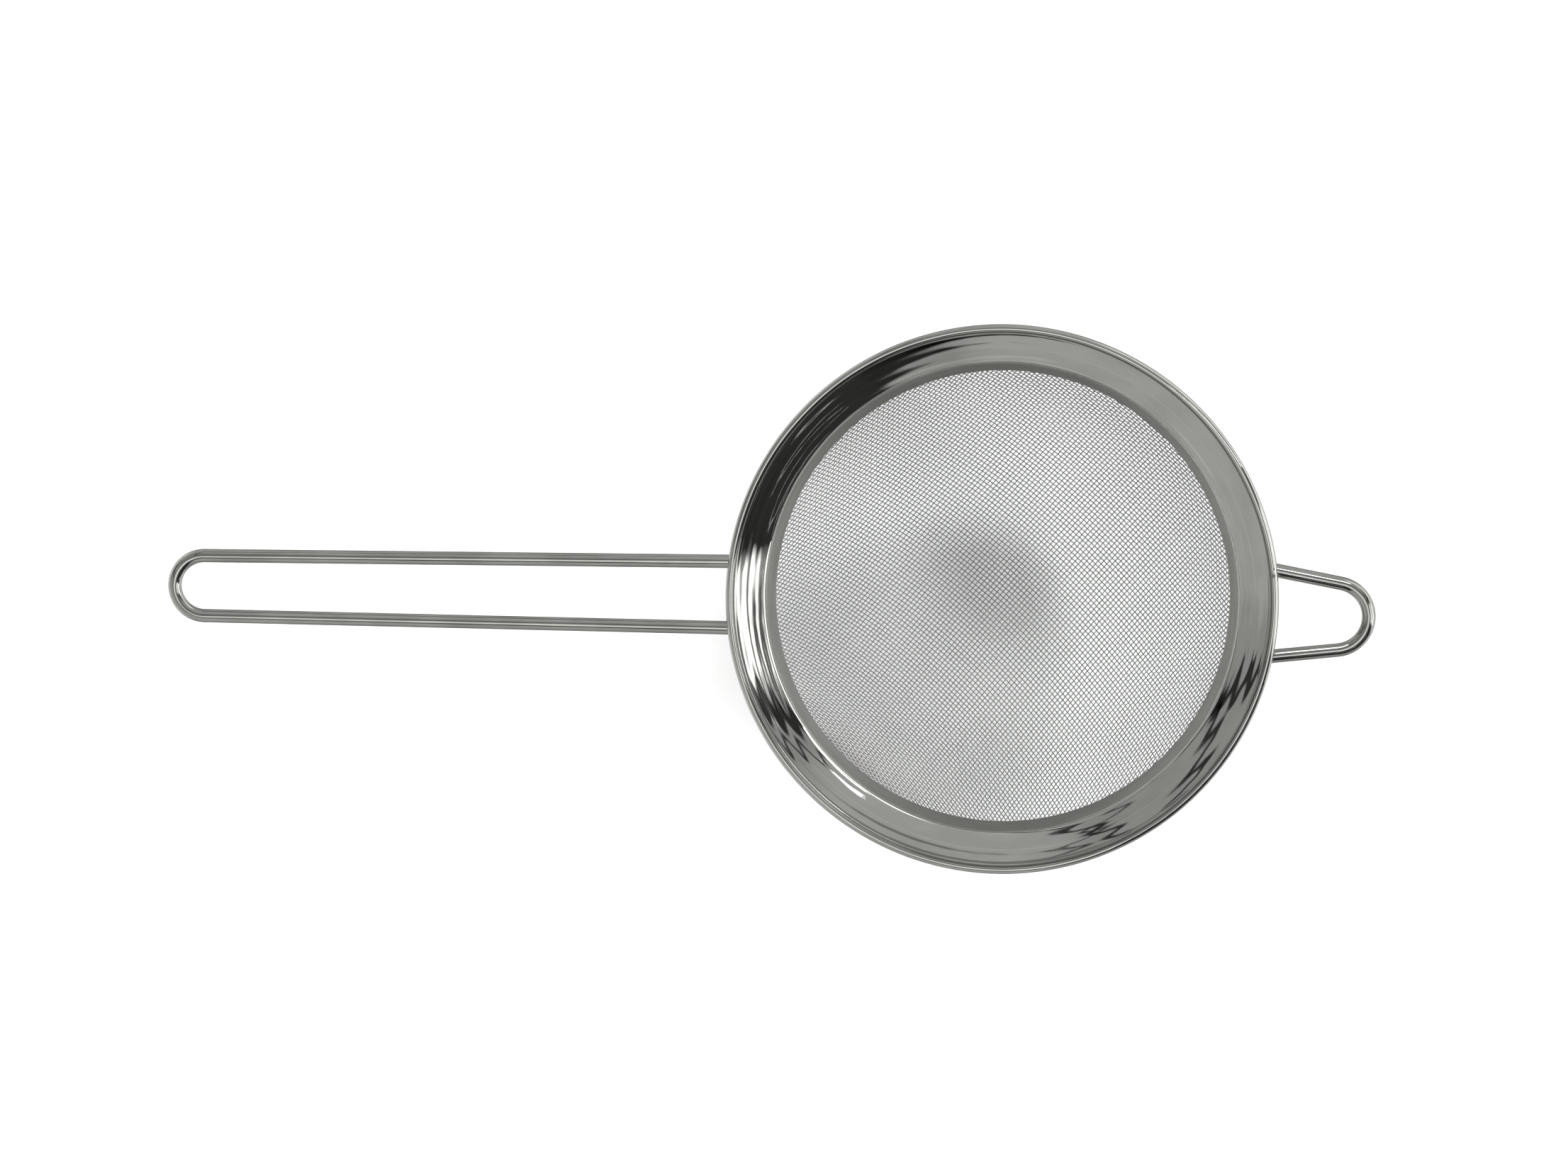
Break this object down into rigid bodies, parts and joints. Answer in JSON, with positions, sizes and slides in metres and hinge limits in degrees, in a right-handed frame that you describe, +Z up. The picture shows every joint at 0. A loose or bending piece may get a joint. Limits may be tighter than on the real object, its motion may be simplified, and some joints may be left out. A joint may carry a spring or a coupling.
{
  "type": "mesh strainer",
  "caption": "Round kitchen strainer with a woven wire bowl, a wide rolled steel rim, a long bent-wire handle and a wire rest loop.",
  "frame": {"origin": "middle of the overall length, on the surface that the bowl's lowest crossing touches", "axes": "+X from the handle towards the rest loop, +Z up out of the bowl's mouth"},
  "size_m": [0.3523, 0.16, 0.055],
  "materials": {
    "polished_steel": "polished stainless steel with fine rolling lines",
    "satin_steel": "satin stainless steel",
    "drawn_steel": "bright drawn stainless wire",
    "mesh_steel": "plain woven stainless wire"
  },
  "bodies": {
    "root": {"rim_band": "polished_steel", "mesh_clamp_ring": "satin_steel", "handle_wire": "drawn_steel", "rest_loop_wire": "drawn_steel", "warp_wire_01": "mesh_steel", "weft_wire_01": "mesh_steel", "warp_wire_02": "mesh_steel", "weft_wire_02": "mesh_steel", "warp_wire_03": "mesh_steel", "weft_wire_03": "mesh_steel", "warp_wire_04": "mesh_steel", "weft_wire_04": "mesh_steel", "warp_wire_05": "mesh_steel", "weft_wire_05": "mesh_steel", "warp_wire_06": "mesh_steel", "weft_wire_06": "mesh_steel", "warp_wire_07": "mesh_steel", "weft_wire_07": "mesh_steel", "warp_wire_08": "mesh_steel", "weft_wire_08": "mesh_steel", "warp_wire_09": "mesh_steel", "weft_wire_09": "mesh_steel", "warp_wire_10": "mesh_steel", "weft_wire_10": "mesh_steel", "warp_wire_11": "mesh_steel", "weft_wire_11": "mesh_steel", "warp_wire_12": "mesh_steel", "weft_wire_12": "mesh_steel", "warp_wire_13": "mesh_steel", "weft_wire_13": "mesh_steel", "warp_wire_14": "mesh_steel", "weft_wire_14": "mesh_steel", "warp_wire_15": "mesh_steel", "weft_wire_15": "mesh_steel", "warp_wire_16": "mesh_steel", "weft_wire_16": "mesh_steel", "warp_wire_17": "mesh_steel", "weft_wire_17": "mesh_steel", "warp_wire_18": "mesh_steel", "weft_wire_18": "mesh_steel", "warp_wire_19": "mesh_steel", "weft_wire_19": "mesh_steel", "warp_wire_20": "mesh_steel", "weft_wire_20": "mesh_steel", "warp_wire_21": "mesh_steel", "weft_wire_21": "mesh_steel", "warp_wire_22": "mesh_steel", "weft_wire_22": "mesh_steel", "warp_wire_23": "mesh_steel", "weft_wire_23": "mesh_steel", "warp_wire_24": "mesh_steel", "weft_wire_24": "mesh_steel", "warp_wire_25": "mesh_steel", "weft_wire_25": "mesh_steel"}
  },
  "joints": []
}
